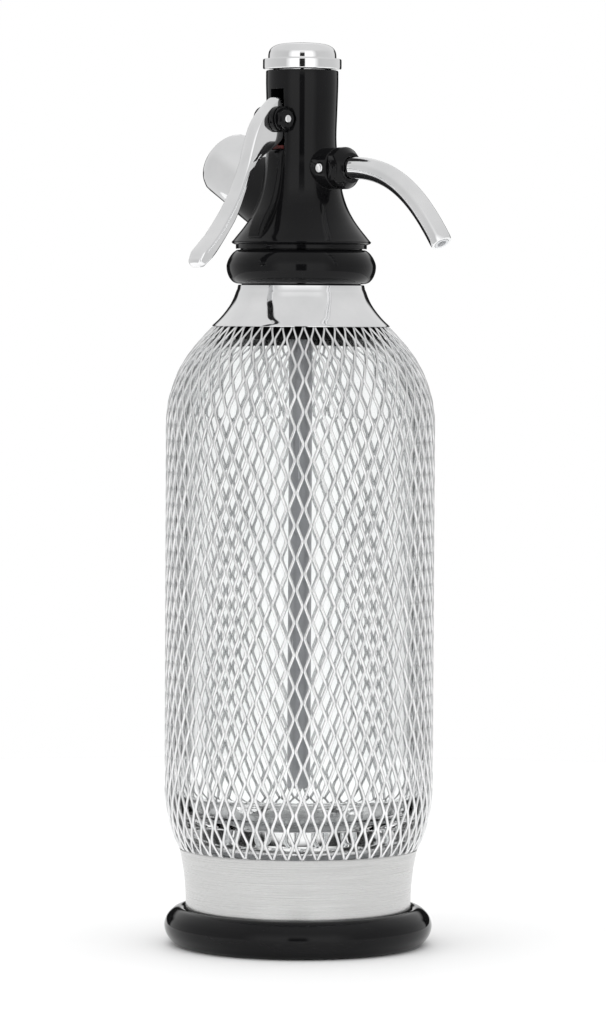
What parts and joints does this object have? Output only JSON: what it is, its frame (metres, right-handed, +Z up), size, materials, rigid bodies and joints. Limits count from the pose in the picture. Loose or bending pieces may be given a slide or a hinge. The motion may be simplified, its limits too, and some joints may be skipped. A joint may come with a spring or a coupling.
{
  "type": "soda siphon",
  "caption": "Tall glass soda siphon in a wire mesh sleeve, with a black valve head, a curved spout, a squeeze lever and a tilted charger holder.",
  "frame": {"origin": "centre of the foot's flat underside, on the bottle's axis", "axes": "+Z up along the bottle's axis, +X towards the spout, -Y towards the lever"},
  "size_m": [0.1238, 0.1039, 0.333],
  "materials": {
    "clear_glass": "clear, smooth",
    "wire_steel": "bright expanded metal",
    "brushed_steel": "fine brushed",
    "chrome": "polished",
    "gloss_black": "high gloss",
    "dull_black": "matte",
    "rubber": "matte",
    "red_rubber": "matte",
    "grey_tube": "smoky, translucent",
    "pale_plastic": "satin",
    "brass": "turned"
  },
  "bodies": {
    "bottle": {"glass_bottle": "clear_glass", "wire_sleeve": "wire_steel", "base_band": "brushed_steel", "base_ring": "gloss_black", "base_insert": "pale_plastic", "base_cushion": "pale_plastic", "neck_collar": "chrome", "neck_bush": "gloss_black", "bottle_gasket": "rubber"},
    "head": {"head_body": "gloss_black", "retaining_clip": "brushed_steel", "riser_socket": "dull_black", "riser_tube": "grey_tube", "gas_flap": "rubber", "stem_seal": "red_rubber", "spout_tube": "chrome", "spout_liner": "pale_plastic", "spout_seal": "rubber", "spout_nut": "gloss_black", "spout_lock_pin": "chrome", "lever_pin": "chrome", "pivot_washer": "gloss_black", "pivot_nut": "gloss_black", "cap_seal": "rubber", "charger_seal": "rubber", "piercing_pin": "brushed_steel"},
    "union": {"union_ring": "gloss_black"},
    "lever": {"lever": "chrome"},
    "stem": {"valve_stem": "brushed_steel", "valve_seal": "rubber", "lift_nut": "brass", "valve_spring": "wire_steel"},
    "cap": {"top_cap": "chrome"},
    "holder": {"charger_holder": "chrome"}
  },
  "joints": [
    {"name": "head_lift", "type": "slide", "parent": "bottle", "child": "head", "axis": [0, 0, 1], "range_m": [0, 0.2]},
    {"name": "union_turn", "type": "hinge", "parent": "head", "child": "union", "pos_m": [0, 0, 0.2506], "axis": [0, 0, 1], "continuous": true},
    {"name": "lever_pivot", "type": "hinge", "parent": "head", "child": "lever", "pos_m": [0, -0.0155, 0.3044], "axis": [1, 0, 0], "range_deg": [0, 9.5], "stiffness_Nm_per_rad": 0.2, "springref_deg": -11.46},
    {"name": "stem_slide", "type": "slide", "parent": "head", "child": "stem", "axis": [0, 0, 1], "range_m": [0, 0.003], "deforming": ["valve_spring"]},
    {"name": "cap_lift", "type": "slide", "parent": "head", "child": "cap", "axis": [0, 0, 1], "range_m": [0, 0.03]},
    {"name": "holder_draw", "type": "slide", "parent": "head", "child": "holder", "axis": [-0.866, 0, 0.5], "range_m": [0, 0.07]}
  ],
  "couplings": [
    {"joint": "stem_slide", "follows": "lever_pivot", "m_per_rad": 0.018}
  ]
}
